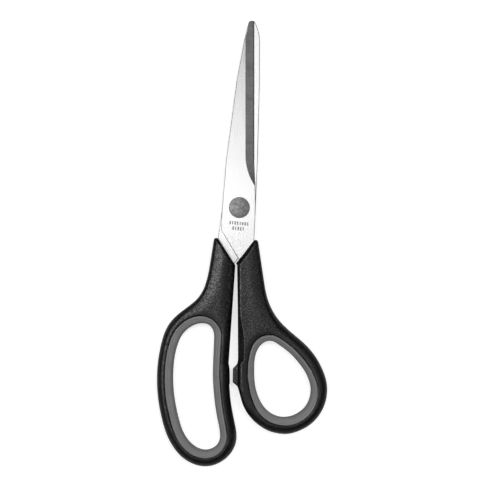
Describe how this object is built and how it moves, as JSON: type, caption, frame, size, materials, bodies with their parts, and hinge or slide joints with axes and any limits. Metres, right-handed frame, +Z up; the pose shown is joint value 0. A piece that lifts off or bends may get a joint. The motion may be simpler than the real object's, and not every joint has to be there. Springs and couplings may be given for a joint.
{
  "type": "fabric shears",
  "caption": "Right-handed fabric shears: ground steel blades on a screw pivot, black moulded handles with soft grey liners, a long finger loop and a rounder thumb loop.",
  "frame": {"origin": "the pivot axis where it meets the plane that the shears lie on, at the middle of the cap nut's flat underside", "axes": "+Y towards the blade tips, +X towards the thumb handle, +Z up through the pivot screw's head"},
  "size_m": [0.092, 0.2405, 0.011],
  "materials": {
    "blade_steel": "bright steel with a fine lengthwise grain",
    "pivot_steel": "satin grey",
    "washer_nylon": "matt natural nylon",
    "handle_plastic": "matt black with a fine stipple",
    "grip_rubber": "matt soft grey"
  },
  "bodies": {
    "finger_half": {"lower_blade": "blade_steel", "finger_handle": "handle_plastic", "finger_grip": "grip_rubber", "pivot_screw": "pivot_steel", "friction_washer": "washer_nylon", "spring_washer": "pivot_steel", "cap_nut": "pivot_steel"},
    "thumb_half": {"upper_blade": "blade_steel", "thumb_handle": "handle_plastic", "thumb_grip": "grip_rubber"}
  },
  "joints": [
    {"name": "pivot", "type": "hinge", "parent": "finger_half", "child": "thumb_half", "pos_m": [0, 0, 0], "axis": [0, 0, 1], "range_deg": [-0.75, 100]}
  ]
}
